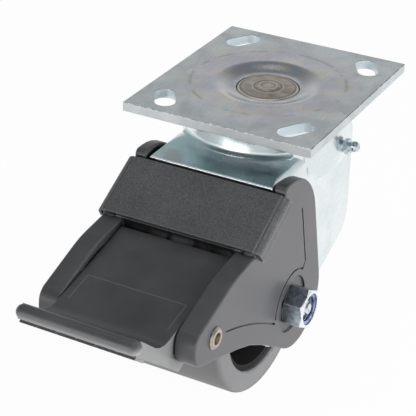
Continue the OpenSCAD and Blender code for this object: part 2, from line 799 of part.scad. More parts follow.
// Moulded core: rim, thin web and hub
module wheel_core() {
    rim_r = wheel_r - tread_t;
    rim_wall = 2.8;
    rim_half = wheel_w / 2 - 2.6;
    web_half = 4;
    side = [[hub_bore_r, hub_half], [hub_r - 1, hub_half], [hub_r, hub_half - 1], [hub_r + 2, web_half + 3],
            [hub_r + 5, web_half], [rim_r - rim_wall - 4, web_half], [rim_r - rim_wall - 1, web_half + 3],
            [rim_r - rim_wall, rim_half], [rim_r, rim_half]];
    color(core_black) about_axle() rotate_extrude($fn = 96)
        polygon(concat(side, [for (p = reversed(side)) [p[0], -p[1]]]));
}

module tread() {
    shoulder = 2.4;
    half = wheel_w / 2;
    inner_r = wheel_r - tread_t;
    color(grey_tread) about_axle() rotate_extrude($fn = 96)
        polygon(concat([[inner_r, half - 0.8], [inner_r + 0.8, half]],
                       reversed(arc_points([wheel_r - shoulder, half - shoulder], shoulder, 0, 90, 6)),
                       arc_points([wheel_r - shoulder, -half + shoulder], shoulder, 0, -90, 6),
                       [[inner_r + 0.8, -half], [inner_r, -half + 0.8]]));
}

module bearing_rollers() {
    half = hub_half - 3;
    color(steel) for (i = [0:roller_count - 1])
        rod(on_circle(axle, roller_circle, i * 360 / roller_count), roller_r, -half, half);
}

// End rings and bars that space the rollers
module bearing_cage() {
    ring_t = 2;
    half = hub_half - 0.6;
    ring_out = hub_bore_r - 0.4;
    ring_in = sleeve_r + 0.4;
    color(bright_zinc) {
        both_sides() difference() {
            rod(axle, ring_out, half - ring_t, half);
            rod(axle, ring_in, half - ring_t - 1, half + 1);
        }
        for (i = [0:roller_count - 1])
            translate([ax, 0, az]) rotate([0, (i + 0.5) * 360 / roller_count, 0])
                translate([roller_circle - 1, -half + ring_t / 2, -0.4])
                    cube([2, 2 * half - ring_t, 0.8]);
    }
}

// Corners of the pedal's upper surface from its rear edge to the lip
pedal_top = [
    [pedal_rear[0], pedal_rear[1], 0],
    [scoop[0], scoop[1], 15],
    [lip[0] + lip_r * 0.72, lip[1] + lip_r * 0.7, 0]
];
lip_under = lip + lip_r * [-0.62, -0.78];
pedal_front = [
    [lip_under[0], lip_under[1], 0],
    [pedal_heel[0], pedal_heel[1], 0]
];
pedal_side = concat(
    rounded_path(pedal_top), [xz(lip), lip_under, pedal_heel, pivot + [2, -barrel_r - 2]],
    arc_points(pivot, barrel_r + 1, -75, 20, 8),
    [pedal_rear + [2.2, -pedal_wall - 0.6], pedal_rear + [0.8, -pedal_wall - 0.4]]);

// Cam arm: barrel and nose joined by their outer tangents
module cam() {
    lean = acos((barrel_r - cam_r) / cam_reach);
    polygon([on_circle(pivot, barrel_r, cam_rest + lean), on_circle(cam_tip, cam_r, cam_rest + lean),
             on_circle(cam_tip, cam_r, cam_rest - lean), on_circle(pivot, barrel_r, cam_rest - lean)]);
    translate(cam_tip) circle(r = cam_r);
}

// Moulded pedal: scooped tread panel, rounded lip, two ears, ribs, barrel and brake cam
module pedal() {
    rib_t = 2;
    color(black_nylon) difference() {
        union() {
            slab(-pedal_half, pedal_half) polygon(wall(pedal_top, pedal_wall));
            slab(-pedal_half, pedal_half) polygon(wall(pedal_front, pedal_wall));
            both_sides() slab(pedal_half - pedal_wall, pedal_half) polygon(pedal_side);
            for (y = [-rib_y, rib_y]) slab(y - rib_t / 2, y + rib_t / 2) polygon(pedal_side);
            rod(lip, lip_r, -lip_w / 2 + lip_r, lip_w / 2 - lip_r);
            both_sides() translate([lip[0], lip_w / 2 - lip_r, lip[1]]) sphere(r = lip_r);
            rod(pivot, barrel_r, -pedal_half, pedal_half);
            slab(-cam_half, cam_half) cam();
            for (y = [-cam_half + rib_t / 2, cam_half - rib_t / 2])
                slab(y - rib_t / 2, y + rib_t / 2) polygon(pedal_side);
            // Grip pads under the lip
            for (i = [0:grip_count - 1])
                translate([lip_under[0], (i - (grip_count - 1) / 2) * grip_pitch - grip_w / 2, lip_under[1]])
                    rotate([0, -atan2(pedal_heel[1] - lip_under[1], pedal_heel[0] - lip_under[0]), 0])
                        translate([1.5, 0, -grip_h]) cube([grip_l, grip_w, grip_h + 1]);
        }
        rod(pivot, rivet_r + run_gap, -pedal_half - 1, pedal_half + 1);
    }
}

// Swing a piece drawn in the locked place back to rest about the shoe pin
module shoe_at_rest() {
    translate([eye[0], 0, eye[1]]) rotate([0, shoe_swing, 0]) translate([-eye[0], 0, -eye[1]]) children();
}

module wheel_sector(r0, r1, a0, a1) {
    far = r1 * 1.5;
    intersection() {
        difference() {
            translate(axle) circle(r = r1, $fn = 128);
            translate(axle) circle(r = r0, $fn = 128);
        }
        polygon(concat([axle], arc_points(axle, far, a0, a1, 3)));
    }
}

// Steel shoe: an eye on the pin and a band that wraps the front of the wheel
module brake_shoe() {
    color(zinc) shoe_at_rest() difference() {
        union() {
            rod(eye, eye_r, -eye_half, eye_half);
            slab(-eye_half, eye_half) wheel_sector(band_r, shoe_back_r, eye_angle, 150);
            slab(-shoe_w / 2, shoe_w / 2) wheel_sector(band_r, shoe_back_r, 139, 184);
        }
        rod(eye, shoe_pin_d / 2 + run_gap, -eye_half - 1, eye_half + 1);
    }
}

module brake_pad() {
    color(friction_grey) shoe_at_rest()
        slab(-shoe_w / 2 + 1, shoe_w / 2 - 1) wheel_sector(pad_r, band_r, 147, 183);
}

module shoe_pin() {
    color(zinc) {
        rod(eye, shoe_pin_d / 2, -pin_half, pin_half);
        rod(eye, shoe_pin_d / 2 + 1, lug_out + seat_gap, pin_half + 0.6);
    }
}

// One torsion spring at each end of the shoe's eye, from the bridge to the inner side of the band
module shoe_springs() {
    turns = 2;
    bridge_end = strip_point(12, bridge_v - web_t - wire_r - 0.45);
    band_end = swung(on_circle(axle, band_r - wire_r - 0.3, 144), eye, -shoe_swing);
    to_bridge = bridge_end - eye;
    to_band = band_end - eye;
    a0 = atan2(to_band[1], to_band[0]) + acos(coil_r / norm(to_band));
    a1 = atan2(to_bridge[1], to_bridge[0]) - acos(coil_r / norm(to_bridge));
    sweep = (a1 - a0 + 720) % 360 + turns * 360;
    steps = ceil(sweep / 22);
    y0 = eye_half + wire_r + 0.3;
    y1 = lug_in - wire_r - 0.3;
    coil = [for (i = [0:steps])
        let (a = a0 + sweep * i / steps, y = y0 + (y1 - y0) * i / steps)
        [eye[0] + coil_r * cos(a), y, eye[1] + coil_r * sin(a)]];
    color(bright_zinc) both_sides()
        wire(concat([[band_end[0], y0, band_end[1]]], coil, [[bridge_end[0], y1, bridge_end[1]]]), wire_r);
}

top_plate();
kingpin();
lower_race();
kingpin_nut();
cotter_pin();
fork();
upper_balls();
lower_balls();
grease_fitting();
brake_housing();
cover_strip();
pivot_rivet();
axle_bolt();
axle_nut();
nut_insert();
axle_sleeve();
thrust_washers();
wheel_core();
tread();
bearing_rollers();
bearing_cage();
pedal();
brake_shoe();
brake_pad();
shoe_pin();
shoe_springs();
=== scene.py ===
"""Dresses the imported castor: a finish on every piece, rounded copies of six pieces, the lamps and the camera.

The frame is the swivel axis at the plate's top face, +Z up, the axle along Y and the pedal towards -X.
"""

from __future__ import annotations

import logging
import math
from dataclasses import dataclass, field
from enum import Enum

import bmesh
import bpy
from mathutils import Matrix, Vector

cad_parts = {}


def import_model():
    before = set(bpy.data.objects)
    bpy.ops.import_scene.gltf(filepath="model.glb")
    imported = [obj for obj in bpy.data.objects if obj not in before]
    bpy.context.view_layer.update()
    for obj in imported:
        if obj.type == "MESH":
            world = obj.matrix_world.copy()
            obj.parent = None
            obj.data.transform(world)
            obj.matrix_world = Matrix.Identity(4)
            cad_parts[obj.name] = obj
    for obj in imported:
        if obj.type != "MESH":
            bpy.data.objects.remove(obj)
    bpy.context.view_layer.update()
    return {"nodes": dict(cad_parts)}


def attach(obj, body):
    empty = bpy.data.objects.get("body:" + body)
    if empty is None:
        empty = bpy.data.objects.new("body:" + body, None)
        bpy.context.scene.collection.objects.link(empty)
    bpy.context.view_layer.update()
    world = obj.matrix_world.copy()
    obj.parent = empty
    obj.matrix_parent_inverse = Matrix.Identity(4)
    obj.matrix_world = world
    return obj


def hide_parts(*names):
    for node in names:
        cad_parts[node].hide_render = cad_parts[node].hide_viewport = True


LOG = logging.getLogger("castor")
MM = 0.001
EDGE_SAMPLES = 4
CAVITY_SAMPLES = 6
# a cloudy pattern lies mostly between these two values
CLOUD_SPAN = (0.3, 0.7)
# the scale at which a wave texture has a pitch of one metre
WAVE_SCALE = 0.314

Tree = bpy.types.NodeTree
Socket = bpy.types.NodeSocket
Material = bpy.types.Material
Object = bpy.types.Object
Stops = tuple[tuple[float, str], ...]


class Body(Enum):
    """The rigid bodies of the castor, by their names in the record."""

    PLATE = "plate"
    SWIVEL = "swivel"
    WHEEL = "wheel"
    PEDAL = "pedal"
    SHOE = "shoe"


class Blend(Enum):
    """How a layer of colour meets what is below it."""

    COVER = "MIX"
    STAIN = "MULTIPLY"


class Curve(Enum):
    """How a mark fades from whole to nothing."""

    STRAIGHT = "LINEAR"
    SOFT = "SMOOTHSTEP"


def linear(code: str) -> tuple[float, float, float, float]:
    """Turns an sRGB hex colour into the linear colour that a socket takes.

    Args:
        code: Six hex digits, such as "a0b0c0".

    Returns:
        Linear red, green and blue, and a full alpha.
    """
    parts = [int(code[i : i + 2], 16) / 255 for i in (0, 2, 4)]
    curve = [c / 12.92 if c <= 0.04045 else ((c + 0.055) / 1.055) ** 2.4 for c in parts]
    return curve[0], curve[1], curve[2], 1.0


def add_node(
    tree: Tree,
    kind: str,
    inputs: dict[int | str, object] | tuple[object, ...] = (),
    output: int | str = 0,
    stops: Stops = (),
    **settings: object,
) -> Socket | None:
    """Adds a shader node with its settings, and sets or links its inputs.

    Args:
        tree: The node tree that gets the node.
        kind: The node's type name.
        inputs: Values, or the output sockets to link, by the input's name or in the inputs' order.
        output: The output that is wanted, by name or number.
        stops: Pairs of position and sRGB hex colour, for a node with a colour ramp.
        **settings: Node properties and their values.

    Returns:
        The wanted output, or None for a node without outputs.
    """
    node = tree.nodes.new(kind)
    for index, (position, code) in enumerate(stops):
        elements = node.color_ramp.elements
        element = elements[index] if index < len(elements) else elements.new(position)
        element.position = position
        element.color = linear(code)
    for name, value in settings.items():
        setattr(node, name, value)
    for name, value in inputs.items() if isinstance(inputs, dict) else enumerate(inputs):
        if isinstance(value, Socket):
            tree.links.new(value, node.inputs[name])
        else:
            node.inputs[name].default_value = value
    return node.outputs[output] if node.outputs else None


def fresh_material(name: str) -> tuple[Material, Tree]:
    """Makes an empty node material.

    Args:
        name: The material's name.

    Returns:
        The material and its cleared node tree.
    """
    material = bpy.data.materials.new(name)
    material.use_nodes = True
    material.node_tree.nodes.clear()
    return material, material.node_tree


@dataclass(frozen=True)
class Layer:
    """A colour, as sRGB hex or a socket, laid over what is below it as far as its mask says."""

    amount: Socket
    tone: Socket | str
    blend: Blend = Blend.COVER


def paint(tree: Tree, colour: Socket, layers: list[Layer]) -> Socket:
    """Lays the layers over a colour, the first one lowest.

    Args:
        tree: The node tree.
        colour: The colour below them all.
        layers: The layers in order.

    Returns:
        The colour that is seen.
    """
    for layer in layers:
        tone = linear(layer.tone) if isinstance(layer.tone, str) else layer.tone
        inputs = {"Factor": layer.amount, "A": colour, "B": tone}
        blend = layer.blend.value
        colour = add_node(tree, "ShaderNodeMix", inputs, "Result", data_type="RGBA", blend_type=blend)
    return colour


def near(
    tree: Tree,
    value: Socket,
    centre: float,
    reach: tuple[float, float],
    level: float = 1.0,
    curve: Curve = Curve.SOFT,
) -> Socket:
    """Marks where a value lies close to a centre, such as a line drawn at a radius.

    Args:
        tree: The node tree.
        value: The value that is read.
        centre: The centre.
        reach: How far from the centre the mark is whole, and how far from it the mark ends.
        level: The mark's level where it is whole.
        curve: How it fades.

    Returns:
        The mark.
    """
    offset = add_node(tree, "ShaderNodeMath", (value, centre), operation="SUBTRACT")
    away = add_node(tree, "ShaderNodeMath", (offset,), operation="ABSOLUTE")
    return add_node(
        tree, "ShaderNodeMapRange", (away, reach[0], reach[1], level, 0.0), interpolation_type=curve.value
    )


def axis_distance(tree: Tree, place: Socket) -> Socket:
    """Gives the distance from the swivel axis, in metres."""
    flat = add_node(tree, "ShaderNodeVectorMath", (place, (1.0, 1.0, 0.0)), operation="MULTIPLY")
    return add_node(tree, "ShaderNodeVectorMath", (flat,), "Value", operation="LENGTH")


def off_centre(tree: Tree, place: Socket, axis: str) -> Socket:
    """Gives one coordinate without its sign, so that one mark serves both sides."""
    folded = add_node(tree, "ShaderNodeVectorMath", (place,), operation="ABSOLUTE")
    return add_node(tree, "ShaderNodeSeparateXYZ", (folded,), axis)


def facing(tree: Tree, axis: str) -> Socket:
    """Gives how far the surface points along one axis of the piece."""
    normal = add_node(tree, "ShaderNodeTexCoord", output="Normal")
    return add_node(tree, "ShaderNodeSeparateXYZ", (normal,), axis)


def edge_wear_and_highlight_mask(tree: Tree, rounded: Socket, start: float, full: float, level: float) -> Socket:
    """Marks the edges, where the rounded normal turns away from the flat one, for wear and painted highlight.

    Args:
        tree: The node tree.
        rounded: The normal rounded over the edges.
        start: How well the two agree where the mark starts.
        full: How well they agree where it is whole.
        level: The mark's level there.

    Returns:
        The mark.
    """
    flat = add_node(tree, "ShaderNodeNewGeometry", output="True Normal")
    agree = add_node(tree, "ShaderNodeVectorMath", (rounded, flat), "Value", operation="DOT_PRODUCT")
    return add_node(tree, "ShaderNodeMapRange", (agree, start, full, 0.0, level))


@dataclass(frozen=True)
class ZincPlating:
    """Electroplated bright zinc with a thin clear chromate, on pressed, drawn or turned steel.

    The eye sees cloudy patches, the steel's fine grain and, where it has been handled, light scratches.
    """

    name: str
    bright: str = "d7dcdd"
    dull: str = "b9bfc1"
    roughness: float = 0.26
    rough_spread: float = 0.14
    cloud_mm: float = 18.0
    dull_at: float = 0.3
    bright_at: float = 0.62
    grain_mm: float = 0.9
    grain_depth_mm: float = 0.05
    edge_mm: float = 0.35
    scratches: float = 0.0
    scratch_mm: tuple[float, float, float] = (9.0, 0.45, 0.45)
    scratch_turn: tuple[float, float, float] = (0.4, 0.3, 0.9)
    scratch_span: tuple[float, float] = (0.61, 0.7)
    scratch_tone: str = "ffffff"

    def build(self) -> Material:
        """Builds the material.

        Returns:
            The material.
        """
        material, tree = fresh_material(self.name)
        place = add_node(tree, "ShaderNodeTexCoord", output="Object")
        inputs = {
            "Vector": place,
            "Scale": 1 / (self.cloud_mm * MM),
            "Detail": 5.0,
            "Roughness": 0.55,
            "Distortion": 0.6,
        }
        clouds = add_node(tree, "ShaderNodeTexNoise", inputs)
        inputs = {"Vector": place, "Scale": 1 / (self.grain_mm * MM), "Detail": 3.0, "Roughness": 0.6}
        grain = add_node(tree, "ShaderNodeTexNoise", inputs)
        stops = ((self.dull_at, self.dull), (self.bright_at, self.bright))
        colour = add_node(tree, "ShaderNodeValToRGB", (clouds,), stops=stops)
        half = self.rough_spread / 2
        spread = (clouds, *CLOUD_SPAN, self.roughness + half, self.roughness - half)
        rough = add_node(tree, "ShaderNodeMapRange", spread)
        inputs = {
            "Height": self._height(tree, place, grain),
            "Strength": 0.12,
            "Distance": self.grain_depth_mm * MM,
            "Normal": add_node(tree, "ShaderNodeBevel", {"Radius": self.edge_mm * MM}, samples=EDGE_SAMPLES),
        }
        surface = {
            "Base Color": paint(tree, colour, self._layers(tree, place)),
            "Metallic": 1.0,
            "Roughness": rough,
            "Normal": add_node(tree, "ShaderNodeBump", inputs),
        }
        surface.update(self._walls(tree, rough))
        shader = add_node(tree, "ShaderNodeBsdfPrincipled", surface)
        add_node(tree, "ShaderNodeOutputMaterial", {"Surface": shader})
        return material

    def _layers(self, tree: Tree, place: Socket) -> list[Layer]:
        """Draws fine handling scratches and rolling streaks, light on the dull film.

        Args:
            tree: The node tree.
            place: The object coordinates.

        Returns:
            The layers over the plating's own colour.
        """
        if not self.scratches:
            return []
        finer = tuple(1 / (size * MM) for size in self.scratch_mm)
        inputs = {"Vector": place, "Rotation": self.scratch_turn, "Scale": finer}
        stretched = add_node(tree, "ShaderNodeMapping", inputs)
        inputs = {"Vector": stretched, "Scale": 1.0, "Detail": 1.0, "Roughness": 0.5}
        streaks = add_node(tree, "ShaderNodeTexNoise", inputs)
        share = add_node(tree, "ShaderNodeMapRange", (streaks, *self.scratch_span, 0.0, self.scratches))
        return [Layer(share, self.scratch_tone)]

    def _height(self, tree: Tree, place: Socket, grain: Socket) -> Socket:
        """Gives the height of the surface, which is its grain alone here."""
        return grain

    def _walls(self, tree: Tree, rough: Socket) -> dict[str, Socket]:
        """Gives what differs on sheared walls, which is nothing here: a pressed or turned piece has none."""
        return {}


@dataclass(frozen=True)
class RolledPlate(ZincPlating):
    """Hot rolled plate, sheared, punched, dished and zinc plated.

    The eye sees lavender, rose and amber tints where the chromate is thickest, a broken dull ring from the
    press tool, matt sheared walls, and burred edges. Painted light lies on the slots' walls, painted shade on
    the underside, and painted highlight and shade along the burred edges.
    """

    tint: float = 0.5
    hues: Stops = ((0.30, "c3c8d0"), (0.42, "c3bfce"), (0.50, "cdc5cb"), (0.57, "d8c9b8"), (0.66, "c0cbcd"))
    hue_mm: float = 16.0
    tint_inner_mm: tuple[float, float] = (14.0, 26.0)
    tint_outer_mm: tuple[float, float] = (34.0, 52.0)
    tint_ends: tuple[float, float] = (0.2, 0.15)
    ring_mm: float = 39.5
    ring_half_mm: tuple[float, float] = (0.2, 1.5)
    ring_gap_mm: float = 14.0
    ring_gap_span: tuple[float, float] = (0.47, 0.56)
    ring_share: float = 0.6
    ring_tone: str = "9ba1a3"
    groove_mm: float = 40.0
    groove_half_mm: float = 2.2
    wall_lean: tuple[float, float] = (0.35, 0.15)
    wall_roughness: float = 0.5
    wall_metal: float = 0.82
    # painted light on the slots' punched walls
    slot_wall_painted_light: str = "dfeaef"
    # painted shade on the faces that point down
    under_lean: tuple[float, float] = (-0.5, -0.8)
    underside_painted_shade: str = "93a9ac"
    end_mm: float = 56.1
    side_mm: float = 49.8
    dish_mm: float = 34.0
    # the burred edge, as painted highlight (white) and painted shade (near black) broken by noise
    edge_lean: float = 0.62
    edge_reach: tuple[float, float] = (0.30, 0.36)
    burr_mm: float = 3.2
    burr_highlight_and_shade: Stops = ((0.44, "1a1b20"), (0.50, "8d9296"), (0.54, "ffffff"))
    long_side_bias: float = -0.06

    def _layers(self, tree: Tree, place: Socket) -> list[Layer]:
        """Adds tints, the ring, painted shade underneath, painted light in the slots and painted burr marks.

        Args:
            tree: The node tree.
            place: The object coordinates.

        Returns:
            The layers over the plating's own colour.
        """
        radius = axis_distance(tree, place)
        ahead = off_centre(tree, place, "X")
        aside = off_centre(tree, place, "Y")
        end = add_node(tree, "ShaderNodeMath", (ahead, self.end_mm * MM), operation="GREATER_THAN")
        side = add_node(tree, "ShaderNodeMath", (aside, self.side_mm * MM), operation="GREATER_THAN")
        rim = add_node(tree, "ShaderNodeMath", (end, side), operation="MAXIMUM")
        # painted shade: the faces that point down take a darker, bluer tone
        under = add_node(tree, "ShaderNodeMapRange", (facing(tree, "Z"), *self.under_lean, 0.0, 1.0))
        return [
            self._tints(tree, place, radius),
            self._tool_ring(tree, place, radius),
            *super()._layers(tree, place),
            Layer(under, self.underside_painted_shade),
            self._slot_walls(tree, radius, rim),
            self._burred_edges(tree, place, rim, side),
        ]

    def _tints(self, tree: Tree, place: Socket, radius: Socket) -> Layer:
        """Tints a broken band round the dish, where the chromate is thickest.

        Args:
            tree: The node tree.
            place: The object coordinates.
            radius: The distance from the swivel axis.

        Returns:
            The layer.
        """
        inputs = {"Vector": place, "Scale": 1 / (self.hue_mm * MM), "Detail": 2.0, "Roughness": 0.5}
        wander = add_node(tree, "ShaderNodeTexNoise", inputs)
        hues = add_node(tree, "ShaderNodeValToRGB", (wander,), stops=self.hues)
        soft = Curve.SOFT.value
        start, full = (size * MM for size in self.tint_inner_mm)
        rise = (radius, start, full, self.tint_ends[0], 1.0)
        inner = add_node(tree, "ShaderNodeMapRange", rise, interpolation_type=soft)
        start, last = (size * MM for size in self.tint_outer_mm)
        fall = (radius, start, last, 1.0, self.tint_ends[1])
        outer = add_node(tree, "ShaderNodeMapRange", fall, interpolation_type=soft)
        band = add_node(tree, "ShaderNodeMath", (inner, outer), operation="MULTIPLY")
        return Layer(add_node(tree, "ShaderNodeMath", (band, self.tint), operation="MULTIPLY"), hues)

    def _tool_ring(self, tree: Tree, place: Socket, radius: Socket) -> Layer:
        """Draws the broken dull ring that the press tool left above the ball track.

        Args:
            tree: The node tree.
            place: The object coordinates.
            radius: The distance from the swivel axis.

        Returns:
            The layer.
        """
        whole, last = (size * MM for size in self.ring_half_mm)
        line = near(tree, radius, self.ring_mm * MM, (whole, last))
        inputs = {"Vector": place, "Scale": 1 / (self.ring_gap_mm * MM), "Detail": 3.0, "Roughness": 0.6}
        gaps = add_node(tree, "ShaderNodeTexNoise", inputs)
        kept = add_node(tree, "ShaderNodeMapRange", (gaps, *self.ring_gap_span, 0.0, self.ring_share))
        return Layer(add_node(tree, "ShaderNodeMath", (line, kept), operation="MULTIPLY"), self.ring_tone)

    def _slot_walls(self, tree: Tree, radius: Socket, rim: Socket) -> Layer:
        """Paints light on the punched walls of the slots, and neither on the rim's walls nor the dish's.

        Args:
            tree: The node tree.
            radius: The distance from the swivel axis.
            rim: Where the plate's outer border is.

        Returns:
            The layer.
        """
        steep = self._steep(tree)
        wall = add_node(tree, "ShaderNodeMath", (steep, rim), operation="MULTIPLY")
        slot = add_node(tree, "ShaderNodeMath", (steep, wall), operation="SUBTRACT")
        outside = add_node(tree, "ShaderNodeMath", (radius, self.dish_mm * MM), operation="GREATER_THAN")
        share = add_node(tree, "ShaderNodeMath", (slot, outside), operation="MULTIPLY", use_clamp=True)
        # painted light on the slots' walls
        return Layer(share, self.slot_wall_painted_light)

    def _burred_edges(self, tree: Tree, place: Socket, rim: Socket, long_side: Socket) -> Layer:
        """Paints highlight and shade on the sheared edge as burr marks, darker along the two long sides.

        Args:
            tree: The node tree.
            place: The object coordinates.
            rim: Where the plate's outer border is.
            long_side: Where its two long sides are.

        Returns:
            The layer.
        """
        turn = near(tree, facing(tree, "Z"), self.edge_lean, self.edge_reach, curve=Curve.STRAIGHT)
        edge = add_node(tree, "ShaderNodeMath", (turn, rim), operation="MULTIPLY")
        inputs = {"Vector": place, "Scale": 1 / (self.burr_mm * MM), "Detail": 4.0, "Roughness": 0.75}
        nicks = add_node(tree, "ShaderNodeTexNoise", inputs)
        biased = (long_side, self.long_side_bias, nicks)
        nicks = add_node(tree, "ShaderNodeMath", biased, operation="MULTIPLY_ADD")
        # painted highlight and painted shade along the burred edge
        return Layer(edge, add_node(tree, "ShaderNodeValToRGB", (nicks,), stops=self.burr_highlight_and_shade))

    def _height(self, tree: Tree, place: Socket, grain: Socket) -> Socket:
        """Sinks a faint groove into the surface above the ball track.

        Args:
            tree: The node tree.
            place: The object coordinates.
            grain: The height of the grain.

        Returns:
            The height of the surface.
        """
        reach = (0.0, self.groove_half_mm * MM)
        groove = near(tree, axis_distance(tree, place), self.groove_mm * MM, reach, -self.ring_share)
        return add_node(tree, "ShaderNodeMath", (grain, groove), operation="ADD")

    def _steep(self, tree: Tree) -> Socket:
        """Tells the sheared and punched walls from the flat faces and the dish."""
        level = add_node(tree, "ShaderNodeMath", (facing(tree, "Z"),), operation="ABSOLUTE")
        return add_node(tree, "ShaderNodeMapRange", (level, *self.wall_lean, 0.0, 1.0))

    def _walls(self, tree: Tree, rough: Socket) -> dict[str, Socket]:
        """Makes the sheared walls matt, because the shear tears them.

        Args:
            tree: The node tree.
            rough: The roughness of the flat faces.

        Returns:
            The roughness and the share of metal all over the plate.
        """
        steep = self._steep(tree)
        inputs = {"Factor": steep, "A": rough, "B": self.wall_roughness}
        return {
            "Roughness": add_node(tree, "ShaderNodeMix", inputs, data_type="FLOAT"),
            "Metallic": add_node(tree, "ShaderNodeMapRange", (steep, 0.0, 1.0, 1.0, self.wall_metal)),
        }


@dataclass(frozen=True)
class TurnedSteel:
    """Bare steel turned on a lathe: fine rings about the swivel axis under a dull brown film of oil."""

    name: str
    tone: str = "d2c8be"
    dark: str = "8f857c"
    tone_at: float = 0.98
    dark_at: float = 0.4
    roughness: float = 0.42
    ring_pitch_mm: float = 0.9
    ring_depth_mm: float = 0.04
    ring_share: float = 0.45
    film_mm: float = 5.0
    line_share: float = 0.75
    line_core: float = 0.1
    # light and dark rings drawn at given radii on the head: radius and half width in mm, and tone
    head_ring_lines: tuple[tuple[float, float, str], ...] = (
        (1.2, 0.7, "ded5cc"),
        (3.6, 0.6, "8f867e"),
        (4.6, 0.6, "ded5cc"),
        (6.9, 0.6, "857c74"),
        (7.9, 0.5, "d8cec5"),
        (13.9, 0.6, "857c74"),
        (15.0, 0.5, "f2ece6"),
    )

    def build(self) -> Material:
        """Builds the material.

        Returns:
            The material.
        """
        material, tree = fresh_material(self.name)
        place = add_node(tree, "ShaderNodeTexCoord", output="Object")
        inputs = {
            "Vector": place,
            "Scale": WAVE_SCALE / (self.ring_pitch_mm * MM),
            "Distortion": 1.2,
            "Detail": 2.0,
            "Detail Scale": 1.5,
        }
        rings = add_node(tree, "ShaderNodeTexWave", inputs, "Fac", wave_type="RINGS", rings_direction="Z")
        inputs = {"Vector": place, "Scale": 1 / (self.film_mm * MM), "Detail": 4.0}
        film = add_node(tree, "ShaderNodeTexNoise", inputs)
        blend = add_node(tree, "ShaderNodeMath", (rings, self.ring_share, film), operation="MULTIPLY_ADD")
        stops = ((self.dark_at, self.dark), (self.tone_at, self.tone))
        colour = add_node(tree, "ShaderNodeValToRGB", (blend,), stops=stops)
        radius = axis_distance(tree, place)
        lines = [
            Layer(near(tree, radius, at * MM, (self.line_core * half * MM, half * MM), self.line_share), tone)
            for at, half, tone in self.head_ring_lines
        ]
        inputs = {"Height": rings, "Strength": 0.25, "Distance": self.ring_depth_mm * MM}
        surface = {
            "Base Color": paint(tree, colour, lines),
            "Metallic": 1.0,
            "Roughness": self.roughness,
            "Normal": add_node(tree, "ShaderNodeBump", inputs),
        }
        shader = add_node(tree, "ShaderNodeBsdfPrincipled", surface)
        add_node(tree, "ShaderNodeOutputMaterial", {"Surface": shader})
        return material


@dataclass(frozen=True)
class HexNutSteel:
    """A nut forged and zinc plated: dull stained flats, a bright turned face, edges of wear and painted
    highlight.

    The flats lie along the axle, so a face is told from a flat by how far it points along Y.
    """

    name: str
    flat: str = "b6c0c8"
    stain: str = "7f8992"
    face: str = "eef3f6"
    # white edges, partly wear and partly painted highlight
    edge_wear_and_highlight: str = "ffffff"
    flat_at: float = 0.65
    stain_at: float = 0.35
    face_lean: tuple[float, float] = (0.08, 0.3)
    edge_wear_and_highlight_span: tuple[float, float] = (0.99, 0.9)
    stain_mm: float = 2.2
    stain_depth_mm: float = 0.05
    edge_mm: float = 0.55
    flat_roughness: float = 0.3
    face_roughness: float = 0.16
    edge_wear_and_highlight_roughness: float = 0.55
    edge_wear_and_highlight_metal: float = 0.3

    def build(self) -> Material:
        """Builds the material.

        Returns:
            The material.
        """
        material, tree = fresh_material(self.name)
        place = add_node(tree, "ShaderNodeTexCoord", output="Object")
        along = add_node(tree, "ShaderNodeMath", (facing(tree, "Y"),), operation="ABSOLUTE")
        turned = add_node(tree, "ShaderNodeMapRange", (along, *self.face_lean, 0.0, 1.0))
        inputs = {"Vector": place, "Scale": 1 / (self.stain_mm * MM), "Detail": 5.0, "Roughness": 0.7}
        stains = add_node(tree, "ShaderNodeTexNoise", inputs)
        stops = ((self.stain_at, self.stain), (self.flat_at, self.flat))
        dull = add_node(tree, "ShaderNodeValToRGB", (stains,), stops=stops)
        edge = add_node(tree, "ShaderNodeBevel", {"Radius": self.edge_mm * MM}, samples=EDGE_SAMPLES)
        # edges painted white: partly wear, partly painted highlight
        edge_wear_and_highlight = edge_wear_and_highlight_mask(tree, edge, *self.edge_wear_and_highlight_span, 1.0)
        rough = add_node(
            tree, "ShaderNodeMapRange", (turned, 0.0, 1.0, self.flat_roughness, self.face_roughness)
        )
        inputs = {"Factor": edge_wear_and_highlight, "A": rough, "B": self.edge_wear_and_highlight_roughness}
        rough = add_node(tree, "ShaderNodeMix", inputs, data_type="FLOAT")
        inputs = {"Height": stains, "Strength": 0.15, "Distance": self.stain_depth_mm * MM, "Normal": edge}
        surface = {
            "Base Color": paint(tree, dull, [Layer(turned, self.face), Layer(edge_wear_and_highlight, self.edge_wear_and_highlight)]),
            "Metallic": add_node(tree, "ShaderNodeMapRange", (edge_wear_and_highlight, 0.0, 1.0, 1.0, self.edge_wear_and_highlight_metal)),
            "Roughness": rough,
            "Normal": add_node(tree, "ShaderNodeBump", inputs),
        }
        shader = add_node(tree, "ShaderNodeBsdfPrincipled", surface)
        add_node(tree, "ShaderNodeOutputMaterial", {"Surface": shader})
        return material


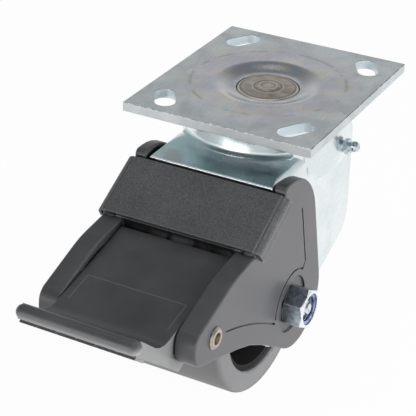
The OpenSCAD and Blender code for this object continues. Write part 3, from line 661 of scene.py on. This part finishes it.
@dataclass(frozen=True)
class Moulding:
    """A moulded, cast or sprayed surface: nylon, rubber or powder paint.

    The eye sees the fine texture of the mould or the spray, edges made paler for wear and painted highlight,
    and painted shade that darkens the gaps.
    """

    name: str
    tone: str
    shade: str
    tone_at: float = 0.66
    shade_at: float = 0.36
    roughness: float = 0.42
    rough_spread: float = 0.1
    ior: float = 1.5
    texture_mm: float = 0.35
    texture_depth: float = 0.12
    texture_depth_mm: float = 0.1
    cloud_mm: float = 30.0
    fleck: float = 0.0
    edge_mm: float = 0.5
    # painted shade: ambient occlusion darkens the colour in gaps and recesses
    painted_cavity_shade: str = "303032"
    cavity_mm: float = 12.0
    cavity_closed: float = 0.2
    cavity_open: float = 0.6
    # paler edges, partly wear and partly painted highlight
    rubbed_and_highlight_tone: str = ""
    rubbed_and_highlight_span: tuple[float, float] = (0.98, 0.86)
    rubbed_and_highlight_share: float = 0.8

    def build(self) -> Material:
        """Builds the material.

        Returns:
            The material.
        """
        material, tree = fresh_material(self.name)
        place = add_node(tree, "ShaderNodeTexCoord", output="Object")
        inputs = {"Vector": place, "Scale": 1 / (self.cloud_mm * MM), "Detail": 4.0, "Roughness": 0.6}
        clouds = add_node(tree, "ShaderNodeTexNoise", inputs)
        inputs = {"Vector": place, "Scale": 1 / (self.texture_mm * MM), "Detail": 2.0, "Roughness": 0.5}
        texture = add_node(tree, "ShaderNodeTexNoise", inputs)
        inputs = {"Factor": self.fleck, "A": clouds, "B": texture}
        blend = add_node(tree, "ShaderNodeMix", inputs, data_type="FLOAT")
        stops = ((self.shade_at, self.shade), (self.tone_at, self.tone))
        colour = add_node(tree, "ShaderNodeValToRGB", (blend,), stops=stops)
        edge = add_node(tree, "ShaderNodeBevel", {"Radius": self.edge_mm * MM}, samples=EDGE_SAMPLES)
        half = self.rough_spread / 2
        spread = (clouds, *CLOUD_SPAN, self.roughness - half, self.roughness + half)
        inputs = {
            "Height": texture,
            "Strength": self.texture_depth,
            "Distance": self.texture_depth_mm * MM,
            "Normal": edge,
        }
        surface = {
            "Base Color": paint(tree, colour, self._layers(tree, place, edge)),
            "Roughness": add_node(tree, "ShaderNodeMapRange", spread),
            "IOR": self.ior,
            "Normal": add_node(tree, "ShaderNodeBump", inputs),
        }
        shader = add_node(tree, "ShaderNodeBsdfPrincipled", surface)
        add_node(tree, "ShaderNodeOutputMaterial", {"Surface": shader})
        return material

    def _layers(self, tree: Tree, place: Socket, edge: Socket) -> list[Layer]:
        """Lightens the edges for wear and painted highlight, then paints shade into the gaps and recesses.

        Args:
            tree: The node tree.
            place: The object coordinates, which are not used here.
            edge: The normal rounded over the edges.

        Returns:
            The layers over the material's own colour.
        """
        layers = []
        if self.rubbed_and_highlight_tone:
            # edges made paler: partly wear, partly painted highlight
            rubbed_and_highlit = edge_wear_and_highlight_mask(tree, edge, *self.rubbed_and_highlight_span, self.rubbed_and_highlight_share)
            layers.append(Layer(rubbed_and_highlit, self.rubbed_and_highlight_tone))
        # painted shade in the gaps and recesses, from ambient occlusion
        if self.painted_cavity_shade:
            inputs = {"Distance": self.cavity_mm * MM}
            open_share = add_node(tree, "ShaderNodeAmbientOcclusion", inputs, "AO", samples=CAVITY_SAMPLES)
            span = (open_share, self.cavity_closed, self.cavity_open, 1.0, 0.0)
            cavity_shade = add_node(tree, "ShaderNodeMapRange", span)
            layers.append(Layer(cavity_shade, self.painted_cavity_shade, Blend.STAIN))
        return layers


@dataclass(frozen=True)
class HousingMoulding(Moulding):
    """The brake housing's nylon, with painted shade on what lies between the cheeks."""

    # painted shade between the cheeks, as far in as the cheeks' inner faces
    inner_half_mm: tuple[float, float] = (30.6, 29.1)
    inner_shade_share: float = 0.85
    inner_painted_shade: str = "121213"

    def _layers(self, tree: Tree, place: Socket, edge: Socket) -> list[Layer]:
        """Paints shade on what lies between the cheeks.

        Args:
            tree: The node tree.
            place: The object coordinates.
            edge: The normal rounded over the edges.

        Returns:
            The layers over the material's own colour.
        """
        # painted shade on everything nearer the middle than the cheeks
        start, full = (size * MM for size in self.inner_half_mm)
        side = off_centre(tree, place, "Y")
        share = add_node(tree, "ShaderNodeMapRange", (side, start, full, 0.0, self.inner_shade_share))
        return [*super()._layers(tree, place, edge), Layer(share, self.inner_painted_shade)]


@dataclass(frozen=True)
class PedalMoulding(Moulding):
    """The pedal's nylon, with the fine outline of the mould's insert on its panel and painted light on the
    faces that don't point up.
    """

    line_across_mm: float = 129.3
    line_half_mm: float = 25.9
    line_end_mm: float = 146.0
    line_reach_mm: tuple[float, float] = (0.1, 0.4)
    line_share: float = 0.34
    line_tone: str = "8a8a8c"
    # painted light on the sides and underside, by how little a face points up
    side_lean: tuple[float, float] = (0.45, -0.25)
    side_painted_light: str = "808080"

    def _layers(self, tree: Tree, place: Socket, edge: Socket) -> list[Layer]:
        """Draws the insert's outline under the wear, and paints light on the faces that don't point up.

        Args:
            tree: The node tree.
            place: The object coordinates.
            edge: The normal rounded over the edges.

        Returns:
            The layers over the material's own colour.
        """
        # painted light: faces that don't point up get a paler tone
        matt = add_node(tree, "ShaderNodeMapRange", (facing(tree, "Z"), *self.side_lean, 0.0, 1.0))
        sides = Layer(matt, self.side_painted_light)
        return [self._outline(tree, place), *super()._layers(tree, place, edge), sides]

    def _outline(self, tree: Tree, place: Socket) -> Layer:
        """Draws the insert's outline: across the panel, and down both sides to the lip.

        Args:
            tree: The node tree.
            place: The object coordinates.

        Returns:
            The layer.
        """
        ahead = off_centre(tree, place, "X")
        aside = off_centre(tree, place, "Y")
        past = add_node(tree, "ShaderNodeMath", (self.line_across_mm * MM, ahead), operation="SUBTRACT")
        beyond = add_node(tree, "ShaderNodeMath", (aside, self.line_half_mm * MM), operation="SUBTRACT")
        outside = add_node(tree, "ShaderNodeMath", (past, beyond), operation="MAXIMUM")
        whole, last = (size * MM for size in self.line_reach_mm)
        line = near(tree, outside, 0.0, (whole, last), self.line_share, Curve.STRAIGHT)
        before_lip = add_node(tree, "ShaderNodeMath", (ahead, self.line_end_mm * MM), operation="LESS_THAN")
        share = add_node(tree, "ShaderNodeMath", (line, before_lip), operation="MULTIPLY")
        return Layer(share, self.line_tone)


class Finish(Enum):
    """The castor's finishes, each named for its real material and how it was made."""

    # rolled plate, whose chromate shows as faint rainbow tints
    PLATE = RolledPlate("rolled_zinc_plate", bright="c9ced0", dull="b4b9bb", scratches=0.2)
    # deep drawn sheet with a blue chromate, bright and nearly white
    FORK = ZincPlating(
        "pressed_blue_zinc",
        bright="edf2f3",
        dull="dde6e9",
        roughness=0.24,
        rough_spread=0.1,
        cloud_mm=26,
        scratches=0.5,
    )
    # cut and pressed hardware under a fresh plating, which mirrors the room more clearly
    BRIGHT = ZincPlating(
        "bright_zinc_hardware", bright="dde4ea", dull="c2ccd6", roughness=0.18, cloud_mm=6, grain_mm=0.5
    )
    # forged, with stained flats, a bright turned face, and corners of wear and painted highlight
    NUT = HexNutSteel("blue_zinc_hex_nut")
    # hard steel with a thin plating, which mirrors the dark room
    NIPPLE = ZincPlating(
        "hardened_nipple_steel", bright="e6edf2", dull="98a4ae", roughness=0.16, cloud_mm=2.2, grain_mm=0.5
    )
    # nickel looks warmer than zinc
    RIVET = ZincPlating(
        "nickel_rivet_head", bright="c6bdb0", dull="958c80", roughness=0.3, cloud_mm=3, grain_mm=0.4
    )
    # turned and left bare, so the tool's rings show
    KINGPIN = TurnedSteel("turned_kingpin_steel")
    # ground and polished, smooth and faintly blue
    BEARING = ZincPlating("ground_bearing_steel", bright="c9c9cc", dull="a9a9ac", roughness=0.16, cloud_mm=8)
    # injection moulded nylon, black with a satin sheen; paler edges from wear and painted highlight, and
    # painted shade in the gaps and between the cheeks
    HOUSING = HousingMoulding(
        "moulded_black_nylon",
        tone="49494b",
        shade="3f3f41",
        roughness=0.36,
        rubbed_and_highlight_tone="707072",
        painted_cavity_shade="19191a",
        cavity_mm=20.0,
        cavity_open=0.65,
    )
    # the same nylon from a smoother mould, with painted shade in its deep gaps, painted highlight with wear on
    # its edges and painted light on its sides and underside
    PEDAL = PedalMoulding(
        "pedal_black_nylon",
        tone="4b4b4d",
        shade="3f3f41",
        roughness=0.34,
        rubbed_and_highlight_tone="707072",
        painted_cavity_shade="101011",
        cavity_mm=24.0,
        cavity_open=0.82,
    )
    # the powder's real grit is finer than a pixel, so its grains are drawn 0.8 mm across to show
    STRIP = Moulding(
        "black_powder_coat",
        tone="5b5b5d",
        shade="3a3a3c",
        roughness=0.55,
        texture_mm=0.8,
        texture_depth=0.3,
        fleck=0.65,
        # painted highlight with wear on the strip's edges
        rubbed_and_highlight_tone="a8a8aa",
    )
    # the insert's nylon is dyed, and uneven where the thread has cut it
    INSERT = Moulding("violet_insert_nylon", tone="7f87b4", shade="20244f", roughness=0.2, cloud_mm=2.5)
    # the core's recess is rough from the mould, with no gloss
    CORE = Moulding(
        "black_wheel_core", tone="2a2a2b", shade="232324", roughness=0.75, ior=1.12, painted_cavity_shade=""
    )
    # cast rubber, even and matt, with a soft edge
    TREAD = Moulding(
        "grey_cast_tread", tone="6c6c6d", shade="616162", roughness=0.5, cloud_mm=40, edge_mm=0.8
    )
    # pressed steel, plated in a barrel and left dull
    SHOE = ZincPlating("zinc_brake_steel", roughness=0.3)
    # grit pressed in resin, matt with pale and dark flecks
    LINING = Moulding("pressed_friction_lining", tone="4d4a47", shade="35322f", roughness=0.85, fleck=0.8)


Palette = dict[Finish, Material]
Nodes = dict[str, Object]


def assign(piece: Object, material: Material) -> None:
    """Puts a finish on a piece, in place of the plain one.

    Args:
        piece: The piece's object.
        material: The finish.
    """
    if not piece.material_slots:
        piece.data.materials.append(material)
    for slot in piece.material_slots:
        slot.material = material
    LOG.info("%s wears %s", piece.name, material.name)


def deselect() -> None:
    """Leaves nothing selected, so that the next operator acts only on what it adds."""
    bpy.ops.object.select_all(action="DESELECT")


def choose(piece: Object) -> None:
    """Selects one piece alone and makes it the active one.

    Args:
        piece: The piece.
    """
    deselect()
    piece.select_set(True)
    bpy.context.view_layer.objects.active = piece


def apply_modifiers(piece: Object) -> None:
    """Applies every modifier of a piece in order.

    Args:
        piece: The piece.
    """
    choose(piece)
    for name in [modifier.name for modifier in piece.modifiers]:
        bpy.ops.object.modifier_apply(modifier=name)


@dataclass(frozen=True)
class CheekOutline:
    """The edges between a cheek's or an arm's flat side and the walls that run through its thickness."""

    flat_least: float = 0.98
    wall_most: float = 0.4
    wall_depth_mm: float = 3.0
    outer_band_mm: float = 0.1
    outer_share: float = 1.0
    inner_shade_share: float = 0.5

    def mark(self, mesh: bpy.types.Mesh) -> None:
        """Weighs those edges for the bevel, and leaves the rest sharp.

        Args:
            mesh: The copied housing's mesh.
        """
        outer = max(abs(vertex.co.y) for vertex in mesh.vertices)
        shell = bmesh.new()
        shell.from_mesh(mesh)
        layers = shell.edges.layers.float
        weight = layers.get("bevel_weight_edge") or layers.new("bevel_weight_edge")
        for edge in shell.edges:
            if len(edge.link_faces) != 2:
                continue
            flat, wall = sorted(edge.link_faces, key=lambda face: -abs(face.normal.y))
            if abs(flat.normal.y) < self.flat_least or abs(wall.normal.y) > self.wall_most:
                continue
            depths = [vertex.co.y for vertex in wall.verts]
            if max(depths) - min(depths) < self.wall_depth_mm * MM:
                continue
            outside = abs(edge.verts[0].co.y) > outer - self.outer_band_mm * MM
            edge[weight] = self.outer_share if outside else self.inner_shade_share
        shell.to_mesh(mesh)
        shell.free()


@dataclass(frozen=True)
class BentEnds:
    """The cover strip's two ends, pressed down a little outside the cheeks."""

    score_mm: float = 40.6
    score_half_mm: float = 0.55
    score_depth_mm: float = 0.8
    line_band_mm: float = 0.05
    end_mm: float = 44.2
    drop_mm: float = 1.0
    slope_deg: float = 28.3

    def press(self, piece: Object) -> None:
        """Scores the strip along each cheek and presses what lies outside down.

        Args:
            piece: The copied strip.
        """
        choose(piece)
        bpy.ops.object.mode_set(mode="EDIT")
        for side in (-1, 1):
            for offset in (-self.score_half_mm, 0.0, self.score_half_mm):
                bpy.ops.mesh.select_all(action="SELECT")
                plane = side * (self.score_mm + offset) * MM
                bpy.ops.mesh.bisect(plane_co=(0, plane, 0), plane_no=(0, 1, 0))
        bpy.ops.object.mode_set(mode="OBJECT")
        slope = math.radians(self.slope_deg)
        down = Vector((math.sin(slope), 0, -math.cos(slope)))
        outside = self.score_mm + self.score_half_mm
        for vertex in piece.data.vertices:
            reach = abs(vertex.co.y) / MM
            if abs(reach - self.score_mm) < self.line_band_mm:
                vertex.co += down * self.score_depth_mm * MM
            elif reach > outside:
                vertex.co += down * (reach - outside) / (self.end_mm - outside) * self.drop_mm * MM


@dataclass(frozen=True)
class SoftenedPiece:
    """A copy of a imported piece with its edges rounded, as a mould, a press or a plating bath leaves them."""

    node: str
    body: Body
    material_slot: str
    radius_mm: float
    segments: int = 3
    limit_deg: float = 32.0
    outline: CheekOutline | None = None
    bent: BentEnds | None = None
    weld_mm: float = 0.002
    same_plane_deg: float = 0.4
    smooth_deg: float = 38.0

    def build(self, nodes: Nodes) -> Object:
        """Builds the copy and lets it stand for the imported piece.

        Args:
            nodes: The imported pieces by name.

        Returns:
            The softened piece.
        """
        piece = bpy.data.objects.new(f"{self.node}_softened", nodes[self.node].data.copy())
        bpy.context.scene.collection.objects.link(piece)
        self._merge(piece)
        if self.bent:
            self.bent.press(piece)
        self._round(piece)
        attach(piece, self.body.value)
        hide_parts(self.node)
        LOG.info("%s has %d faces", piece.name, len(piece.data.polygons))
        return piece

    def _merge(self, piece: Object) -> None:
        """Welds the loose triangles and joins those that lie in one plane.

        Args:
            piece: The copied piece.
        """
        choose(piece)
        bpy.ops.object.mode_set(mode="EDIT")
        bpy.ops.mesh.select_all(action="SELECT")
        bpy.ops.mesh.remove_doubles(threshold=self.weld_mm * MM)
        bpy.ops.mesh.dissolve_limited(angle_limit=math.radians(self.same_plane_deg))
        bpy.ops.object.mode_set(mode="OBJECT")

    def _round(self, piece: Object) -> None:
        """Rounds the edges and keeps the flat faces flat to the eye.

        Args:
            piece: The copied piece.
        """
        bevel = piece.modifiers.new("edge_radius", "BEVEL")
        bevel.width = self.radius_mm * MM
        bevel.segments = self.segments
        bevel.use_clamp_overlap = self.outline is None
        bevel.miter_outer = "MITER_ARC"
        if self.outline:
            self.outline.mark(piece.data)
            bevel.limit_method = "WEIGHT"
        else:
            bevel.limit_method = "ANGLE"
            bevel.angle_limit = math.radians(self.limit_deg)
        apply_modifiers(piece)
        bpy.ops.object.shade_smooth_by_angle(angle=math.radians(self.smooth_deg))
        flatten = piece.modifiers.new("flat_faces_stay_flat", "WEIGHTED_NORMAL")
        flatten.keep_sharp = True
        apply_modifiers(piece)


@dataclass(frozen=True)
class SubAssembly:
    """Pieces that belong together, with the finish of each and the sizes of those that are rounded."""

    finishes: dict[str, Finish]
    softened: tuple[SoftenedPiece, ...] = ()

    def dress(self, nodes: Nodes, palette: Palette) -> None:
        """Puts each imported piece's finish on it, and rounds the edges of those that need it.

        Args:
            nodes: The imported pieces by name.
            palette: The built finishes.
        """
        for name, finish in self.finishes.items():
            assign(nodes[name], palette[finish])
        for piece in self.softened:
            assign(piece.build(nodes), palette[self.finishes[piece.node]])


@dataclass(frozen=True)
class MountingPlate(SubAssembly):
    """The slotted top plate with the kingpin riveted into its dish, and the lower race that the nut holds."""

    finishes: dict[str, Finish] = field(
        default_factory=lambda: {
            "top_plate": Finish.PLATE,
            "kingpin": Finish.KINGPIN,
            "lower_race": Finish.BRIGHT,
            "kingpin_nut": Finish.PLATE,
            "cotter_pin": Finish.BRIGHT,
        }
    )
    softened: tuple[SoftenedPiece, ...] = (SoftenedPiece("top_plate", Body.PLATE, "plate_zinc", 0.7),)


@dataclass(frozen=True)
class SwivelFork(SubAssembly):
    """The pressed fork with its two rings of balls and grease fitting, and the axle that clamps its legs."""

    finishes: dict[str, Finish] = field(
        default_factory=lambda: {
            "fork": Finish.FORK,
            "upper_balls": Finish.BEARING,
            "lower_balls": Finish.BEARING,
            "grease_fitting": Finish.NIPPLE,
            "axle_bolt": Finish.BRIGHT,
            "axle_nut": Finish.NUT,
            "nut_insert": Finish.INSERT,
            "axle_sleeve": Finish.BEARING,
            "thrust_washers": Finish.BRIGHT,
        }
    )
    softened: tuple[SoftenedPiece, ...] = (
        SoftenedPiece("fork", Body.SWIVEL, "fork_zinc", 0.6, limit_deg=50.0),
        SoftenedPiece("axle_nut", Body.SWIVEL, "bright_zinc", 0.3, limit_deg=24.0),
    )


@dataclass(frozen=True)
class BrakeHousing(SubAssembly):
    """The moulded housing astride the fork, with its cover strip, the pedal's rivet and the shoe's pin."""

    finishes: dict[str, Finish] = field(
        default_factory=lambda: {
            "brake_housing": Finish.HOUSING,
            "cover_strip": Finish.STRIP,
            "pivot_rivet": Finish.RIVET,
            "shoe_pin": Finish.SHOE,
        }
    )
    softened: tuple[SoftenedPiece, ...] = (
        SoftenedPiece(
            "brake_housing", Body.SWIVEL, "housing_nylon", 2.0, segments=4, outline=CheekOutline()
        ),
        SoftenedPiece("cover_strip", Body.SWIVEL, "strip_paint", 0.3, limit_deg=40.0, bent=BentEnds()),
    )


@dataclass(frozen=True)
class FootPedal(SubAssembly):
    """The scooped pedal with its rounded lip."""

    finishes: dict[str, Finish] = field(default_factory=lambda: {"pedal": Finish.PEDAL})
    softened: tuple[SoftenedPiece, ...] = (SoftenedPiece("pedal", Body.PEDAL, "pedal_nylon", 0.8),)


@dataclass(frozen=True)
class Wheel(SubAssembly):
    """The black core with its roller bearing, and the grey tread cast on it."""

    finishes: dict[str, Finish] = field(
        default_factory=lambda: {
            "wheel_core": Finish.CORE,
            "tread": Finish.TREAD,
            "bearing_rollers": Finish.BEARING,
            "bearing_cage": Finish.BRIGHT,
        }
    )


@dataclass(frozen=True)
class BrakeShoe(SubAssembly):
    """The shoe that the pedal's cam presses on the tread, its friction pad and its two springs."""

    finishes: dict[str, Finish] = field(
        default_factory=lambda: {
            "brake_shoe": Finish.SHOE,
            "brake_pad": Finish.LINING,
            "shoe_springs": Finish.BEARING,
        }
    )


@dataclass(frozen=True)
class Camera:
    """The photograph's camera: where it stands about the castor, and its lens."""

    azimuth_deg: float = -62.0
    elevation_deg: float = 29.03
    roll_deg: float = 1.14
    aim_right_mm: float = 30.28
    aim_down_mm: float = -63.28
    distance_mm: float = 749.28
    focal_px: float = 1488.27
    image_px: float = 416.0
    sensor_mm: float = 36.0
    clip_m: tuple[float, float] = (0.01, 20.0)

    def build(self) -> Object:
        """Builds the camera and makes it the scene's own.

        Returns:
            The camera object.
        """
        azimuth = math.radians(self.azimuth_deg)
        elevation = math.radians(self.elevation_deg)
        roll = math.radians(self.roll_deg)
        level = math.cos(elevation)
        back = Vector((math.sin(azimuth) * level, -math.cos(azimuth) * level, math.sin(elevation)))
        right = Vector((0, 0, 1)).cross(back).normalized()
        up = back.cross(right)
        rolled_right = right * math.cos(roll) + up * math.sin(roll)
        rolled_up = up * math.cos(roll) - right * math.sin(roll)
        aside = rolled_up * self.aim_down_mm - rolled_right * self.aim_right_mm
        data = bpy.data.cameras.new("photo_camera")
        data.sensor_width = self.sensor_mm
        data.lens = self.focal_px * self.sensor_mm / self.image_px
        data.clip_start, data.clip_end = self.clip_m
        camera = bpy.data.objects.new("photo_camera", data)
        bpy.context.scene.collection.objects.link(camera)
        axes = Matrix((rolled_right, rolled_up, back)).transposed().to_4x4()
        camera.matrix_world = Matrix.Translation((back * self.distance_mm + aside) * MM) @ axes
        bpy.context.scene.camera = camera
        LOG.info("%s stands at %s", camera.name, camera.matrix_world.translation)
        return camera


@dataclass(frozen=True)
class Lamp:
    """A soft area lamp that faces a point of the castor, in metres and watts."""

    name: str
    place: tuple[float, float, float]
    size: tuple[float, float]
    watts: float
    aim: tuple[float, float, float] = (-0.05, 0.0, -0.06)
    mirrored: bool = True

    def build(self) -> Object:
        """Builds the lamp, turned towards its aim.

        Returns:
            The lamp object.
        """
        data = bpy.data.lights.new(self.name, "AREA")
        data.shape = "RECTANGLE"
        data.size, data.size_y = self.size
        data.energy = self.watts
        lamp = bpy.data.objects.new(self.name, data)
        bpy.context.scene.collection.objects.link(lamp)
        lamp.location = self.place
        lamp.visible_camera = False
        lamp.visible_glossy = self.mirrored
        lamp.rotation_euler = (Vector(self.aim) - Vector(self.place)).to_track_quat("-Z", "Y").to_euler()
        LOG.info("%s gives %.2f W", lamp.name, self.watts)
        return lamp


@dataclass(frozen=True)
class Studio:
    """A white sweep in a soft room, which is white at the horizon and greyer above."""

    floor_z_mm: float = -142.9
    floor_size_m: float = 6.0
    paper: str = "e8e8e8"
    paper_roughness: float = 0.6
    white: str = "ffffff"
    white_share: float = 0.96
    room_strength: float = 0.9
    room: Stops = (
        (0.0, "f0f0f0"),
        (0.30, "e8eaea"),
        (0.50, "cdd0d1"),
        (0.68, "8a8e90"),
        (1.0, "888c90"),
    )
    lamps: tuple[Lamp, ...] = (
        Lamp("overhead_softbox", (-0.15, 0.1, 0.95), (0.9, 0.7), 1.6),
        Lamp("side_softbox", (-0.1, -1.0, 0.02), (0.9, 0.6), 19.5, mirrored=False),
        Lamp("front_fill", (-1.12, 0.27, 0.05), (0.6, 0.4), 2.5),
        Lamp("light_table", (-0.08, 0.0, -0.1424), (0.5, 0.4), 0.12, aim=(-0.08, 0.0, 1.0), mirrored=False),
        Lamp(
            "floor_bounce",
            (-0.27, -0.03, -0.1415),
            (0.14, 0.2),
            0.14,
            aim=(-0.175, 0.0, -0.045),
            mirrored=False,
        ),
    )

    def build(self) -> None:
        """Builds the floor, the room and the lamps."""
        self._floor()
        self._room()
        for lamp in self.lamps:
            lamp.build()

    def _floor(self) -> None:
        """Lays the pale floor under the wheel, white to the camera with the castor's soft shadow."""
        deselect()
        bpy.ops.mesh.primitive_plane_add(size=self.floor_size_m, location=(0, 0, self.floor_z_mm * MM))
        floor = bpy.context.active_object
        floor.name = "studio_floor"
        material, tree = fresh_material("white_paper_sweep")
        inputs = {"Color": linear(self.paper), "Roughness": self.paper_roughness}
        paper = add_node(tree, "ShaderNodeBsdfDiffuse", inputs)
        glow = add_node(tree, "ShaderNodeEmission", {"Color": linear(self.white), "Strength": 1.0})
        camera_ray = add_node(tree, "ShaderNodeLightPath", output="Is Camera Ray")
        glossy_ray = add_node(tree, "ShaderNodeLightPath", output="Is Glossy Ray")
        seen = add_node(tree, "ShaderNodeMath", (camera_ray, self.white_share), operation="MULTIPLY")
        share = add_node(tree, "ShaderNodeMath", (seen, glossy_ray), operation="MAXIMUM")
        surface = add_node(tree, "ShaderNodeMixShader", (share, paper, glow))
        add_node(tree, "ShaderNodeOutputMaterial", {"Surface": surface})
        floor.data.materials.append(material)

    def _room(self) -> None:
        """Sets the room's light, and a plain white room to the camera."""
        world = bpy.data.worlds.new("studio_room")
        bpy.context.scene.world = world
        world.use_nodes = True
        tree = world.node_tree
        tree.nodes.clear()
        direction = add_node(tree, "ShaderNodeTexCoord", output="Generated")
        height = add_node(tree, "ShaderNodeSeparateXYZ", (direction,), "Z")
        tone = add_node(tree, "ShaderNodeValToRGB", (height,), stops=self.room)
        lit = add_node(tree, "ShaderNodeBackground", {"Color": tone, "Strength": self.room_strength})
        white = add_node(tree, "ShaderNodeBackground", {"Color": linear(self.white), "Strength": 1.0})
        camera_ray = add_node(tree, "ShaderNodeLightPath", output="Is Camera Ray")
        mixed = add_node(tree, "ShaderNodeMixShader", (camera_ray, lit, white))
        add_node(tree, "ShaderNodeOutputWorld", {"Surface": mixed})


def main() -> None:
    """Builds the dressed castor in its studio."""
    logging.basicConfig(level=logging.INFO, format="%(name)s: %(message)s")
    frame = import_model()
    bpy.context.scene.view_settings.view_transform = "Standard"
    palette = {finish: finish.value.build() for finish in Finish}
    for part in (MountingPlate(), SwivelFork(), BrakeHousing(), FootPedal(), Wheel(), BrakeShoe()):
        part.dress(frame["nodes"], palette)
    Studio().build()
    Camera().build()


if __name__ == "__main__":
    main()
